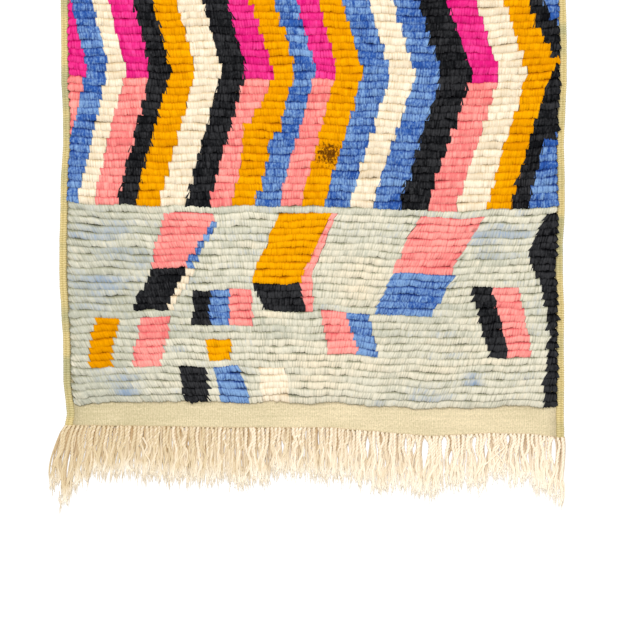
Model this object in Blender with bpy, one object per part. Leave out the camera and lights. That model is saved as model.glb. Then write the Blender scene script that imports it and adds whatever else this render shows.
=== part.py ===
"""Moroccan runner rug lying flat: knotted pile in cross ribs, flat-woven ends, bound sides and one fringe.

Metres, +Z up. The rug rests on z = 0 with its origin in the middle of the woven cloth's underside.
+Y runs along the runner, away from the fringed end, and +X across it.
"""

import random
from bisect import bisect_right
from collections import namedtuple
from math import pi, sin

import bmesh
import bpy

MM = 0.001

# The woven cloth, measured without its fringe
WIDTH = 0.800
LENGTH = 2.400
GROUND_THICKNESS = 3.0 * MM

# Zones along the length, from the fringed end: flat-woven band, pale field, stripes, flat-woven band
NEAR_BAND = 41 * MM
FIELD_LENGTH = 311 * MM
FAR_BAND = 40 * MM
NEAR_END = -LENGTH / 2
FAR_END = LENGTH / 2
PILE_START = NEAR_END + NEAR_BAND
STRIPE_START = PILE_START + FIELD_LENGTH
PILE_END = FAR_END - FAR_BAND

# Rows of knots: each is a rib whose crest lies towards the fringed end, where the pile leans
FIELD_ROWS = 28
STRIPE_ROWS = 170
RIB_CREST = 12.4 * MM
RIB_VALLEY = 9.2 * MM
CREST_PLACE = 0.36
CREST_UNEVENNESS = 0.5 * MM
PILE_FOOT = 0.8 * MM

# Side bindings
SELVEDGE_WIDTH = 12 * MM
SELVEDGE_THICKNESS = 5.0 * MM
SELVEDGE_EDGE = 3.2 * MM
SELVEDGE_COLUMNS = 3
SIDE_STEPS = 48
GAP = 0.3 * MM

# Fringe: a twined heading with one strand for each pair of warps
HEADING_DEPTH = 3.5 * MM
HEADING_INSET = 1.0 * MM
STRAND_WIDTH_ROOT = 4.8 * MM
STRAND_WIDTH_TIP = 3.2 * MM
STRAND_THICKNESS_TIP = 2.2 * MM
STRAND_STATIONS = (0.08, 0.30, 0.54, 0.78, 1.0)
STRAND_WAVE = 1.0 * MM
STRAND_UNEVENNESS = 0.06

# How far each side lies outside half the width, at places along the length, in millimetres.
# The first rows are the end that shows, and the rest carries on in the same gentle way.
SideRow = namedtuple("SideRow", "y left right")
SIDES = [
    SideRow(-1.200, -4.5, -1.0),
    SideRow(-1.170, -7.0, -1.5),
    SideRow(-1.130, -3.5, -1.0),
    SideRow(-1.060, -3.0, -1.5),
    SideRow(-1.010, 0.0, -1.0),
    SideRow(-0.960, 3.0, -3.0),
    SideRow(-0.900, 2.8, -3.0),
    SideRow(-0.860, 1.5, 0.0),
    SideRow(-0.800, 0.5, 0.0),
    SideRow(-0.750, -3.0, -1.5),
    SideRow(-0.690, -2.5, 1.0),
    SideRow(-0.650, 0.0, 3.0),
    SideRow(-0.600, 0.0, 3.2),
    SideRow(-0.450, 1.5, 0.5),
    SideRow(-0.280, -2.0, -1.5),
    SideRow(-0.100, 0.5, -2.5),
    SideRow(0.080, 2.5, 0.5),
    SideRow(0.270, 0.0, 2.0),
    SideRow(0.450, -2.5, 0.5),
    SideRow(0.630, -1.0, -2.0),
    SideRow(0.800, 1.5, -1.0),
    SideRow(0.970, 1.0, 1.0),
    SideRow(1.100, -1.5, 0.5),
    SideRow(1.200, -3.5, -2.5),
]

# How far the weaving runs off true across the width, in millimetres towards the far end: at the
# fringed edge, the first row of knots, the first striped row, the middle, the last row and the far edge
Column = namedtuple("Column", "x near_edge first_row stripe_row middle_row last_row far_edge")
COLUMNS = [
    Column(-0.385, 6.3, 0.0, 7.1, -2.0, 3.0, 2.0),
    Column(-0.250, 4.7, 4.7, 1.9, 1.5, 0.0, 1.0),
    Column(-0.120, 2.4, 2.7, 2.8, 3.0, -2.0, -1.5),
    Column(0.020, 2.8, 2.7, 1.3, 0.5, -1.0, -2.0),
    Column(0.100, -3.8, -3.2, -1.6, -1.5, 1.0, 0.0),
    Column(0.185, -11.1, -7.3, -5.8, -2.5, 2.5, 2.0),
    Column(0.280, -7.0, -5.8, -4.7, -1.0, 1.5, 1.0),
    Column(0.385, -10.0, -4.7, 1.1, 2.0, -2.0, -3.0),
]
LINE_PLACES = [NEAR_END, PILE_START, STRIPE_START, 0.10, PILE_END, FAR_END]

# The fringe in locks, from left to right: strands in the lock, their length and lean in millimetres,
# and the share by which the tips draw together
Lock = namedtuple("Lock", "strands length lean gather")
LOCKS = [
    Lock(4, 120, -16, 0.08),
    Lock(4, 104, -14, 0.10),
    Lock(5, 90, -9, 0.22),
    Lock(5, 84, -4, 0.20),
    Lock(5, 86, -1, 0.25),
    Lock(5, 78, 0, 0.15),
    Lock(5, 86, 1, 0.25),
    Lock(5, 92, -2, 0.32),
    Lock(5, 84, 3, 0.25),
    Lock(5, 92, 1, 0.30),
    Lock(5, 88, -1, 0.20),
    Lock(4, 74, -4, 0.30),
    Lock(5, 82, 3, 0.30),
    Lock(5, 77, 1, 0.15),
    Lock(5, 82, 0, 0.25),
    Lock(4, 86, -2, 0.34),
    Lock(5, 96, 2, 0.36),
    Lock(4, 92, -1, 0.36),
    Lock(4, 98, -3, 0.36),
    Lock(5, 82, -1, 0.30),
    Lock(5, 88, 1, 0.34),
    Lock(5, 76, -2, 0.30),
    Lock(5, 78, 1, 0.28),
    Lock(4, 90, 2, 0.30),
    Lock(3, 97, 3, 0.15),
    Lock(1, 106, 2, 0.00),
]

# Colour and roughness
WOOL_PALE = ((0.62, 0.58, 0.47, 1.0), 0.95)
WOOL_STRAW = ((0.68, 0.55, 0.30, 1.0), 0.95)
COTTON_CREAM = ((0.82, 0.69, 0.48, 1.0), 0.9)


def between(low, high, share):
    return low + (high - low) * share


def eased(share):
    """0 to 1 with a soft start and end."""
    return share * share * (3 - 2 * share)


def in_table(places, values, place, ease=False):
    """The value at a place, read between the two nearest entries of a table."""
    after = min(max(bisect_right(places, place), 1), len(places) - 1)
    share = (place - places[after - 1]) / (places[after] - places[after - 1])
    share = min(max(share, 0.0), 1.0)
    return between(values[after - 1], values[after], eased(share) if ease else share)


# The outer edges run straight between evenly spaced knots, so that cloth and bindings share them exactly
SIDE_KNOTS = [between(NEAR_END, FAR_END, i / SIDE_STEPS) for i in range(SIDE_STEPS + 1)]


def side_reaches(side):
    """How far one side of the rug lies from the middle line, at each of its knots."""
    places = [row.y for row in SIDES]
    offsets = [getattr(row, side) * MM for row in SIDES]
    return [WIDTH / 2 + in_table(places, offsets, y, ease=True) for y in SIDE_KNOTS]


REACH = {"left": side_reaches("left"), "right": side_reaches("right")}
OUTWARD = {"left": -1, "right": 1}


def outer_edge(side, y, inward=0.0):
    """x of the rug's outer edge on one side, or of a line further in."""
    return OUTWARD[side] * (in_table(SIDE_KNOTS, REACH[side], y) - inward)


def woven_line(place, x):
    """y at x of the line woven at a place along the length."""
    shifts = [in_table(LINE_PLACES, [value * MM for value in column[1:]], place) for column in COLUMNS]
    return place + in_table([column.x for column in COLUMNS], shifts, x)


def cloth_stations():
    """The crosswise lines of the cloth's upper side, from the fringed edge on: place and height."""
    lines = [(NEAR_END, GROUND_THICKNESS), (PILE_START - PILE_FOOT, GROUND_THICKNESS)]
    zones = [(PILE_START, STRIPE_START, FIELD_ROWS), (STRIPE_START, PILE_END, STRIPE_ROWS)]
    for start, end, rows in zones:
        pitch = (end - start) / rows
        for row in range(rows):
            lines.append((start + row * pitch, RIB_VALLEY))
            lines.append((start + (row + CREST_PLACE) * pitch, RIB_CREST))
    lines.append((PILE_END, RIB_VALLEY))
    lines.append((PILE_END + PILE_FOOT, GROUND_THICKNESS))
    lines.append((FAR_END, GROUND_THICKNESS))
    return lines


def floor_slab(columns, stations, top_point):
    """A closed slab: a grid bent to top_point(column, station) and extruded down to the floor."""
    bm = bmesh.new()
    bmesh.ops.create_grid(bm, x_segments=columns, y_segments=stations, size=0.5)
    for vert in bm.verts:
        column = round((vert.co.x + 0.5) * columns)
        station = round((vert.co.y + 0.5) * stations)
        vert.co = top_point(column, station)
    made = bmesh.ops.extrude_face_region(bm, geom=bm.faces)["geom"]
    for item in made:
        if isinstance(item, bmesh.types.BMVert):
            item.co.z = 0.0
    bmesh.ops.recalc_face_normals(bm, faces=bm.faces)
    return bm


def plain_underside(bm):
    """Takes the inner lengthwise edges out of the flat underside, which leaves one face to each station."""
    inner = []
    for edge in bm.edges:
        along = edge.verts[1].co - edge.verts[0].co
        underneath = all(face.normal.z < -0.9 for face in edge.link_faces)
        if underneath and abs(along.y) > abs(along.x):
            inner.append(edge)
    bmesh.ops.dissolve_edges(bm, edges=inner, use_verts=True)


def add_object(name, bm, material, collection):
    mesh = bpy.data.meshes.new(name)
    bm.to_mesh(mesh)
    bm.free()
    mesh.materials.append(material)
    mesh.shade_smooth()
    mesh.set_sharp_from_angle(angle=pi / 5)
    made = bpy.data.objects.new(name, mesh)
    collection.objects.link(made)
    return made


def new_material(name, colour, roughness):
    material = bpy.data.materials.new(name)
    material.use_nodes = True
    shader = material.node_tree.nodes["Principled BSDF"]
    shader.inputs["Base Color"].default_value = colour
    shader.inputs["Roughness"].default_value = roughness
    shader.inputs["Metallic"].default_value = 0.0
    return material


def rug_cloth(material, collection):
    """The woven piece: flat at both ends, with a rib for each row of knots between them."""
    lines = cloth_stations()
    uneven = random.Random(3)

    def top_point(column, station):
        place, height = lines[station]
        y = woven_line(place, COLUMNS[column].x)
        share = (COLUMNS[column].x - COLUMNS[0].x) / (COLUMNS[-1].x - COLUMNS[0].x)
        inward = SELVEDGE_WIDTH + GAP
        x = between(outer_edge("left", y, inward), outer_edge("right", y, inward), share)
        if height == RIB_CREST:
            height += uneven.uniform(-CREST_UNEVENNESS, CREST_UNEVENNESS)
        return x, y, height

    bm = floor_slab(len(COLUMNS) - 1, len(lines) - 1, top_point)
    plain_underside(bm)
    return add_object("rug_cloth", bm, material, collection)


def selvedge(side, material, collection):
    """An overcast binding beside the cloth, rounded over its top, from the fringed edge to the far one."""

    def top_point(column, station):
        across = column / SELVEDGE_COLUMNS
        inward = SELVEDGE_WIDTH * across
        corner_x = outer_edge(side, SIDE_KNOTS[station], inward)
        y = SIDE_KNOTS[station]
        if station in (0, SIDE_STEPS):
            y = woven_line(y, corner_x)
        height = SELVEDGE_THICKNESS if 0 < column < SELVEDGE_COLUMNS else SELVEDGE_EDGE
        return outer_edge(side, y, inward), y, height

    bm = floor_slab(SELVEDGE_COLUMNS, SIDE_STEPS, top_point)
    plain_underside(bm)
    return add_object(f"selvedge_{side}", bm, material, collection)


def strand_paths(roots, heading_front):
    """For each strand, its centre x and its y at every station, with the locks drawn together and leaning."""
    uneven = random.Random(8)
    paths = []
    first = 0
    for lock in LOCKS:
        own = roots[first : first + lock.strands]
        centre = sum(own) / len(own)
        wave = uneven.uniform(-STRAND_WAVE, STRAND_WAVE)
        for root in own:
            length = lock.length * MM * (1 + uneven.uniform(-STRAND_UNEVENNESS, STRAND_UNEVENNESS))
            path = []
            for share in STRAND_STATIONS:
                x = root + lock.lean * MM * share**1.3
                x += (centre - root) * lock.gather * eased(share)
                x += wave * sin(2 * pi * share)
                path.append((x, heading_front(root) - length * share))
            paths.append(path)
        first += lock.strands
    return paths


def fringe(material, collection):
    """The twined heading, 0.3 mm off the cloth, with its strands lying apart on the floor."""
    strands = sum(lock.strands for lock in LOCKS)
    left = outer_edge("left", NEAR_END, HEADING_INSET)
    right = outer_edge("right", NEAR_END, HEADING_INSET)
    pitch = (right - left) / strands
    roots = [left + (i + 0.5) * pitch for i in range(strands)]

    def back(x):
        return woven_line(NEAR_END, x) - GAP

    def top_point(column, station):
        x = left + station * pitch
        return x, back(x) - (HEADING_DEPTH if column == 0 else 0), GROUND_THICKNESS

    bm = floor_slab(1, strands, top_point)
    faces = sorted(
        (face for face in bm.faces if face.normal.y < -0.9),
        key=lambda face: face.calc_center_median().x,
    )
    paths = strand_paths(roots, lambda x: back(x) - HEADING_DEPTH)
    for station, share in enumerate(STRAND_STATIONS):
        faces = bmesh.ops.extrude_discrete_faces(bm, faces=faces)["faces"]
        half = between(STRAND_WIDTH_ROOT, STRAND_WIDTH_TIP, share) / 2
        top = between(GROUND_THICKNESS, STRAND_THICKNESS_TIP, share)
        for face, path in zip(faces, paths, strict=True):
            middle = face.calc_center_median().x
            x, y = path[station]
            for vert in face.verts:
                side = -half if vert.co.x < middle else half
                vert.co = (x + side, y, top if vert.co.z > 0 else 0.0)
    return add_object("fringe", bm, material, collection)


def main():
    for old in list(bpy.data.objects):
        bpy.data.objects.remove(old)
    rug = bpy.data.collections.new("moroccan_runner_rug")
    bpy.context.scene.collection.children.link(rug)
    pale = new_material("pale_wool", *WOOL_PALE)
    straw = new_material("straw_wool", *WOOL_STRAW)
    cream = new_material("cream_cotton", *COTTON_CREAM)
    rug_cloth(pale, rug)
    for side in OUTWARD:
        selvedge(side, straw, rug)
    fringe(cream, rug)


main()
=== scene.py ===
"""The moroccan runner rug as it looks: its knots' yarn ends, flat-woven bands, bound sides and fringe.

Metres, +Z up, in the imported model's frame. The fringed end lies towards -Y.
"""

from collections import namedtuple
from math import ceil, pi, radians, sqrt

import bpy
import numpy as np
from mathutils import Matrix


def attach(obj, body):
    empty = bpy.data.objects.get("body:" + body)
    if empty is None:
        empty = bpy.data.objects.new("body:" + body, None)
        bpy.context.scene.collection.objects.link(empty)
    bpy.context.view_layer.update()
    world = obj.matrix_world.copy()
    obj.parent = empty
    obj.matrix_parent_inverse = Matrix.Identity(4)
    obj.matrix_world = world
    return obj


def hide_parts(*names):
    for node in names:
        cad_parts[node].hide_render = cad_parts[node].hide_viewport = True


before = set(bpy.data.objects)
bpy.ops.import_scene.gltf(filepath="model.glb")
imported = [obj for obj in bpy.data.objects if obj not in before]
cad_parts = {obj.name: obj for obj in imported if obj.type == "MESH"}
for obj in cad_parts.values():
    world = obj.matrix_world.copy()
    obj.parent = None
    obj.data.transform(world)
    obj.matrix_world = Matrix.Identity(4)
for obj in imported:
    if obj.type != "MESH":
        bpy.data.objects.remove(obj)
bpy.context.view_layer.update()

# The ground. A flat weave in undyed straw-coloured wool, which shows as a bare band at each end and
# carries the knots between them. The wefts are beaten down over the warps, so the warps stand up as
# fine lengthwise ribs, and no side of it runs quite straight.
MM = 0.001
WIDTH, LENGTH = 0.800, 2.400
GROUND_THICKNESS = 3.0 * MM
NEAR_END, FAR_END = -LENGTH / 2, LENGTH / 2
PILE_START = NEAR_END + 41 * MM
STRIPE_START = PILE_START + 311 * MM
PILE_END = FAR_END - 40 * MM
SELVEDGE_WIDTH = 12 * MM
# Between the cloth and its bindings
GAP = 0.3 * MM
WARP_PITCH = 2.9 * MM
WEFT_PITCH = 1.5 * MM

# How far each side lies outside half the width, in millimetres, at places along the length
SideRow = namedtuple("SideRow", "y left right")
SIDES = [
    SideRow(-1.200, -4.5, -1.0),
    SideRow(-1.170, -9.5, -1.5),
    SideRow(-1.130, -3.5, -1.0),
    SideRow(-1.060, -3.0, -1.5),
    SideRow(-1.010, 0.0, -1.0),
    SideRow(-0.960, 3.0, -3.0),
    SideRow(-0.900, 2.8, -3.0),
    SideRow(-0.860, 1.5, 0.0),
    SideRow(-0.800, 0.5, 0.0),
    SideRow(-0.750, -3.0, -1.5),
    SideRow(-0.690, -2.5, 1.0),
    SideRow(-0.650, 0.0, 3.0),
    SideRow(-0.600, 0.0, 3.2),
    SideRow(-0.450, 1.5, 0.5),
    SideRow(-0.280, -2.0, -1.5),
    SideRow(-0.100, 0.5, -2.5),
    SideRow(0.080, 2.5, 0.5),
    SideRow(0.270, 0.0, 2.0),
    SideRow(0.450, -2.5, 0.5),
    SideRow(0.630, -1.0, -2.0),
    SideRow(0.800, 1.5, -1.0),
    SideRow(0.970, 1.0, 1.0),
    SideRow(1.100, -1.5, 0.5),
    SideRow(1.200, -3.5, -2.5),
]
# The sides are straight over this many equal steps
SIDE_STEPS = 96

# How far six lines across the rug run off true, in millimetres towards the far end, and where along
# the length those lines lie
Column = namedtuple("Column", "x near_edge first_row stripe_row middle_row last_row far_edge")
COLUMNS = [
    Column(-0.385, 6.3, 0.0, 7.1, -2.0, 3.0, 2.0),
    Column(-0.250, 4.7, 4.7, 1.9, 1.5, 0.0, 1.0),
    Column(-0.120, 2.4, 2.7, 2.8, 3.0, -2.0, -1.5),
    Column(0.020, 2.8, 2.7, 1.3, 0.5, -1.0, -2.0),
    Column(0.100, -3.8, -3.2, -1.6, -1.5, 1.0, 0.0),
    Column(0.185, -11.1, -7.3, -5.8, -2.5, 2.5, 2.0),
    Column(0.280, -6.4, -5.8, -4.7, -1.0, 1.5, 1.0),
    Column(0.345, -7.4, -5.1, -1.1, 0.9, -0.7, -1.5),
    Column(0.385, -12.6, -4.7, 1.1, 2.0, -2.0, -3.0),
]
LINE_PLACES = [NEAR_END, PILE_START, STRIPE_START, 0.10, PILE_END, FAR_END]

SIDE_KNOTS = np.linspace(NEAR_END, FAR_END, SIDE_STEPS + 1)
OUTWARD = {"left": -1, "right": 1}


def side_reaches(side):
    """How far one side of the rug lies from the middle line, at each of its knots, eased between rows."""
    places = np.array([row.y for row in SIDES])
    offsets = np.array([getattr(row, side) for row in SIDES]) * MM
    after = np.clip(np.searchsorted(places, SIDE_KNOTS, side="right"), 1, len(places) - 1)
    share = np.clip((SIDE_KNOTS - places[after - 1]) / (places[after] - places[after - 1]), 0, 1)
    share = share * share * (3 - 2 * share)
    return WIDTH / 2 + offsets[after - 1] + (offsets[after] - offsets[after - 1]) * share


REACH = {side: side_reaches(side) for side in OUTWARD}


def outer_edge(side, y, inward=0.0):
    """x of the rug's outer edge on one side, or of a line further in."""
    return OUTWARD[side] * (np.interp(y, SIDE_KNOTS, REACH[side]) - inward)


def woven_line(place, x):
    """y at x of the line woven at a place along the length; both are arrays of one shape."""
    shifts = np.stack([np.interp(place, LINE_PLACES, column[1:]) for column in COLUMNS]) * MM
    at = np.interp(x, [column.x for column in COLUMNS], np.arange(len(COLUMNS)))
    low = np.clip(np.floor(at).astype(int), 0, len(COLUMNS) - 2)
    before = np.take_along_axis(shifts, low[None], 0)[0]
    after = np.take_along_axis(shifts, low[None] + 1, 0)[0]
    return place + before + (after - before) * (at - low)


def cloth_x(share, y):
    """x at a share of the cloth's own width, from its left edge to its right one."""
    left = outer_edge("left", y, SELVEDGE_WIDTH + GAP)
    right = outer_edge("right", y, SELVEDGE_WIDTH + GAP)
    return left + (right - left) * share


class Value:
    """A shader socket that takes part in sums."""

    def __init__(self, finish, socket):
        self.finish = finish
        self.socket = socket

    def sum(self, operation, first, second):
        return self.finish.add("Math", {"operation": operation}, {0: first, 1: second})

    def __add__(self, other):
        return self.sum("ADD", self, other)

    def __radd__(self, other):
        return self.sum("ADD", other, self)

    def __sub__(self, other):
        return self.sum("SUBTRACT", self, other)

    def __rsub__(self, other):
        return self.sum("SUBTRACT", other, self)

    def __mul__(self, other):
        return self.sum("MULTIPLY", self, other)

    def __rmul__(self, other):
        return self.sum("MULTIPLY", other, self)


class Finish:
    """A Principled material whose nodes are added one at a time."""

    def __init__(self, name, **constants):
        self.material = bpy.data.materials.new(name)
        self.material.use_nodes = True
        self.tree = self.material.node_tree
        self.shader = self.tree.nodes["Principled BSDF"]
        for key, value in constants.items():
            self.shader.inputs[key.replace("_", " ")].default_value = value

    def add(self, kind, settings=None, sockets=None, output=0):
        """A node of this kind: its settings come first, then the values or links of its sockets."""
        node = self.tree.nodes.new("ShaderNode" + kind)
        for key, value in (settings or {}).items():
            setattr(node, key, value)
        for key, value in (sockets or {}).items():
            self.feed(node.inputs[key], value)
        return Value(self, node.outputs[output])

    def feed(self, socket, value):
        if isinstance(value, Value):
            self.tree.links.new(value.socket, socket)
        else:
            socket.default_value = value

    def mix(self, share, first, second):
        """One colour or the other, by share."""
        return self.add("Mix", {"data_type": "RGBA"}, {0: share, 6: first, 7: second}, 2)

    def marked(self, name, output="Fac"):
        """What the mesh is marked with under this name."""
        return self.add("Attribute", {"attribute_name": name}, output=output)

    def axis(self, vector, letter):
        return self.add("SeparateXYZ", {}, {0: vector}, letter)

    def sine(self, value):
        return self.add("Math", {"operation": "SINE"}, {0: value})

    def stretch(self, place, x, y, z=1.0):
        return self.add("Mapping", {}, {"Vector": place, "Scale": (x, y, z)})

    def noise(self, place, scale, detail=2.0, roughness=0.5):
        """Soft noise from 0 to 1, at one scale or with one for each axis."""
        if isinstance(scale, tuple):
            place, scale = self.stretch(place, *scale), 1.0
        sockets = {"Vector": place, "Scale": scale, "Detail": detail, "Roughness": roughness}
        return self.add("TexNoise", {}, sockets)

    def step(self, value, low, high):
        """0 below low, 1 above high, and even between them."""
        sockets = {"Value": value, "From Min": low, "From Max": high}
        return self.add("MapRange", {}, sockets)

    def wear(self, colour, height, depth):
        """Feeds the shader its colour and its relief."""
        self.feed(self.shader.inputs["Base Color"], colour)
        bump = self.add("Bump", {}, {"Height": height, "Distance": depth, "Strength": 1.0})
        self.feed(self.shader.inputs["Normal"], bump)
        return self.material


def colour(red, green, blue):
    """A colour given as a screen shows it, from 0 to 255, as the shader wants it."""
    parts = [part / 255 for part in (red, green, blue)]
    return (*[part / 12.92 if part < 0.04 else ((part + 0.055) / 1.055) ** 2.4 for part in parts], 1.0)


def flat_weave(name, warm, grey):
    """Straw wool with heathered wefts: ribs at the warps, finer lines at the wefts, and painted shade in the
    low parts of the weave.
    """
    weave = Finish(name, Roughness=0.95, Specular_IOR_Level=0.15, Sheen_Weight=0.05, Sheen_Roughness=0.6)
    place = weave.add("TexCoord", output="Object")
    across = weave.axis(place, "X")
    along = weave.axis(place, "Y")
    wander = weave.noise(place, (22, 9)) * (1.6 * WARP_PITCH)
    ribs = weave.sine((across + wander) * (2 * pi / WARP_PITCH))
    drift = weave.noise(place, (12, 60)) * (2.5 * WEFT_PITCH)
    picks = weave.sine((along + drift) * (2 * pi / WEFT_PITCH))
    fleck = weave.noise(place, (330, 520), 3.0, 0.65)
    streak = weave.noise(place, (14, 260), 3.0, 0.6)
    cloud = weave.noise(place, (9, 14))
    height = ribs * 0.10 + picks * 0.12 + fleck * 1.1
    left_side = 1 - weave.step(across, -0.38, -0.10)
    heather = weave.noise(place, (420, 260), 2.0, 0.6)
    tone = weave.step(streak * 0.30 + cloud * 0.25 + heather * 0.45 + left_side * 0.10, 0.38, 0.66)
    base = weave.mix(tone, warm, grey)
    # Partly painted shade in the low parts of the warp ribs and weft lines, partly random darker flecks: both
    # take a darker copy of the wool
    shade = weave.step(height, 0.26, 0.76)
    painted_shade_colour = weave.add("HueSaturation", {}, {"Value": 0.70, "Saturation": 1.12, "Color": base})
    return weave.wear(weave.mix(shade, painted_shade_colour, base), height, 0.7 * MM)


def read(items, key, width=3, kind=np.float32):
    """One property of every vertex, corner or face of a mesh, in rows."""
    values = np.empty(len(items) * width, kind)
    items.foreach_get(key, values)
    return values.reshape(-1, width)


def bake_map(mesh, places):
    """Gives the mesh its own map, from one (u, v) for each corner of its faces."""
    for old in list(mesh.uv_layers):
        mesh.uv_layers.remove(old)
    mesh.uv_layers.new(name="OFBake")
    mesh.uv_layers["OFBake"].data.foreach_set("uv", np.asarray(places, np.float32).ravel())


CLOTH_CELLS = 38, 156
# A seventh of the cells' rows go to each bare band, whose slack weave lies a little wavy, and to this
# much of the ground under the pile beside it
BAND_SHARE = 0.14
BAND_OVERLAP = 6 * MM
RIPPLE = 0.35 * MM
# The cloth's underside stays this far above the floor, so that no ripple dips through it
CLEARANCE = 0.6 * MM
# The cloth's map: how far left of and below the middle it starts, and how far across and along it
# reaches, with the underside in its right half
MAP_LEFT, MAP_LOW = 0.42, 1.25
MAP_WIDE, MAP_LONG = 1.7, 2.5
bpy.ops.object.select_all(action="DESELECT")
bpy.ops.mesh.primitive_grid_add(x_subdivisions=CLOTH_CELLS[0], y_subdivisions=CLOTH_CELLS[1], size=1)
ground = bpy.context.object
ground.name = "ground_weave"
share_x, share_y = read(ground.data.vertices, "co")[:, :2].T + 0.5
stations = [0, BAND_SHARE, 1 - BAND_SHARE, 1]
place = np.interp(share_y, stations, [NEAR_END, PILE_START + BAND_OVERLAP, PILE_END - BAND_OVERLAP, FAR_END])
y = woven_line(place, cloth_x(share_x, place))
x = cloth_x(share_x, y)
waves = np.sin(x * 41 + np.sin(y * 60)) * np.sin(y * 95 + x * 9) + 0.6 * np.sin(x * 97 + y * 30)
edge_calm = np.clip(np.minimum(share_x, 1 - share_x) * 12, 0, 1)
lift = RIPPLE * waves * edge_calm
ground.data.vertices.foreach_set("co", np.stack([x, y, GROUND_THICKNESS + lift], 1).ravel())
solid = ground.modifiers.new("thickness", "SOLIDIFY")
solid.thickness = GROUND_THICKNESS - CLEARANCE
solid.offset = -1
bpy.ops.object.modifier_apply(modifier="thickness")
corners = read(ground.data.loops, "vertex_index", 1, np.int32)[:, 0]
sizes = read(ground.data.polygons, "loop_total", 1, np.int32)[:, 0]
upward = read(ground.data.polygons, "normal")[:, 2]
points = read(ground.data.vertices, "co")[corners]
underneath = np.repeat(upward < 0, sizes)
u = (points[:, 0] + MAP_LEFT) / MAP_WIDE + 0.5 * underneath
bake_map(ground.data, np.stack([u, (points[:, 1] + MAP_LOW) / MAP_LONG], 1))
ground.data.polygons.foreach_set("use_smooth", np.abs(upward) > 0.5)
ground.data.update()
ground.data.materials.append(flat_weave("straw_flat_weave", colour(237, 220, 184), colour(200, 187, 149)))
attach(ground, "root")
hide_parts("rug_cloth")

# The pile. Each knot ties a pair of yarn ends round the warps; the ends stand up, bend towards the
# fringed end and lie over the next row. They have matted, so the rug shows as soft crosswise ribs with
# a ragged crease under each. The rows are knotted by hand in seven wools.
FIELD_ROWS = 28
STRIPE_ROWS = 170
STROKE = 2.08 * MM
# A yarn end from its knot over its crest to its underside: how far back it has bent, in row pitches,
# how high it stands, and the place along it
TUFT_STEPS = np.array([-0.30, 0.10, 0.50, 0.94, 1.02])
TUFT_RISES = np.array([7.6, 10.0, 12.2, 10.8, 8.8]) * MM
TUFT_LIE = np.array([0.0, 0.2, 0.5, 0.85, 1.0])
WOOLS = ["pale", "pink", "magenta", "blue", "ivory", "black", "mustard"]
# How far each wool, in that order, spreads over its neighbours at its tips, and how much prouder than
# the rest of its run its edges stand, in millimetres
SPREADS = np.array([0.0, 0.4, 0.4, 0.9, 0.0, 2.2, 0.7])
PROUD = np.array([-0.2, 0.1, 0.1, 0.3, 0.0, 0.7, 0.3])

# Slanted blocks in the pale field, by rows of knots counted from the fringed end and by their left and
# right edges in millimetres from the middle, at the top row and at the bottom one
Block = namedtuple("Block", "wool first last left_top right_top left_low right_low")
BLOCKS = [
    Block("pink", 19, 26, -237, -157, -259, -196),
    Block("blue", 19, 25, -161, -150, -202, -191),
    Block("black", 13, 18, -256, -202, -285, -231),
    Block("ivory", 13, 18, -202, -187, -231, -220),
    Block("mustard", 17, 26, -54, 30, -96, -17),
    Block("pink", 17, 26, 30, 38, -17, -2),
    Block("black", 13, 16, -95, -22, -79, -13),
    Block("pink", 13, 16, -22, 0, -13, 0),
    Block("pink", 19, 26, 169, 272, 128, 223),
    Block("blue", 13, 18, 128, 225, 104, 191),
    Block("black", 11, 15, -191, -164, -190, -166),
    Block("blue", 11, 15, -164, -131, -166, -133),
    Block("pink", 11, 15, -131, -98, -133, -98),
    Block("mustard", 5, 11, -346, -308, -359, -323),
    Block("pink", 5, 11, -274, -226, -288, -242),
    Block("mustard", 6, 8, -169, -130, -166, -134),
    Block("pink", 7, 12, 14, 54, 25, 70),
    Block("blue", 7, 12, 54, 90, 70, 103),
    Block("black", 7, 16, 253, 285, 280, 307),
    Block("pink", 7, 16, 285, 327, 307, 346),
    Block("black", 0, 4, -213, -172, -207, -168),
    Block("blue", 0, 4, -158, -119, -149, -103),
    Block("ivory", 0, 4, -87, -44, -81, -36),
    Block("black", 21, 26, 370, 400, 343, 400),
    Block("black", 15, 20, 343, 400, 367, 400),
    Block("black", 9, 14, 368, 400, 376, 400),
    Block("black", 4, 8, 372, 400, 373, 400),
    Block("black", 0, 3, 364, 400, 368, 400),
]

# The stripes from left to right: where each starts at the first striped row, and how far it has moved
# at the turn, in millimetres. They zigzag for the rest of the length.
Stripe = namedtuple("Stripe", "wool left drift")
STRIPES = [
    Stripe("pink", -440, 45),
    Stripe("blue", -403, 45),
    Stripe("ivory", -372, 47),
    Stripe("pink", -346, 49),
    Stripe("black", -308, 52),
    Stripe("mustard", -280, 54),
    Stripe("ivory", -242, 57),
    Stripe("black", -199, 55),
    Stripe("pink", -163, 57),
    Stripe("mustard", -128, 65),
    Stripe("blue", -90, 63),
    Stripe("pink", -52, 56),
    Stripe("mustard", -17, 56),
    Stripe("blue", 21, 58),
    Stripe("ivory", 60, 63),
    Stripe("blue", 96, 68),
    Stripe("black", 139, 66),
    Stripe("pink", 182, 70),
    Stripe("ivory", 229, 68),
    Stripe("mustard", 277, 63),
    Stripe("black", 316, 60),
    Stripe("blue", 341, 58),
]
# Stripes, by their place in the list, whose left edge strays: at which rows, counted from the first
# striped one, and how far to the right, in millimetres
STRAYING = {
    9: ([4, 7, 9, 10, 12, 14], [0, -9, -16, -17, -6, 0]),
    10: ([6, 8, 10, 12], [0, -8, 3, 0]),
    20: ([14, 17, 19, 24], [0, 5, 18, 0]),
    21: ([8, 10, 22, 26], [0, 20, 20, 0]),
}
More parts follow.
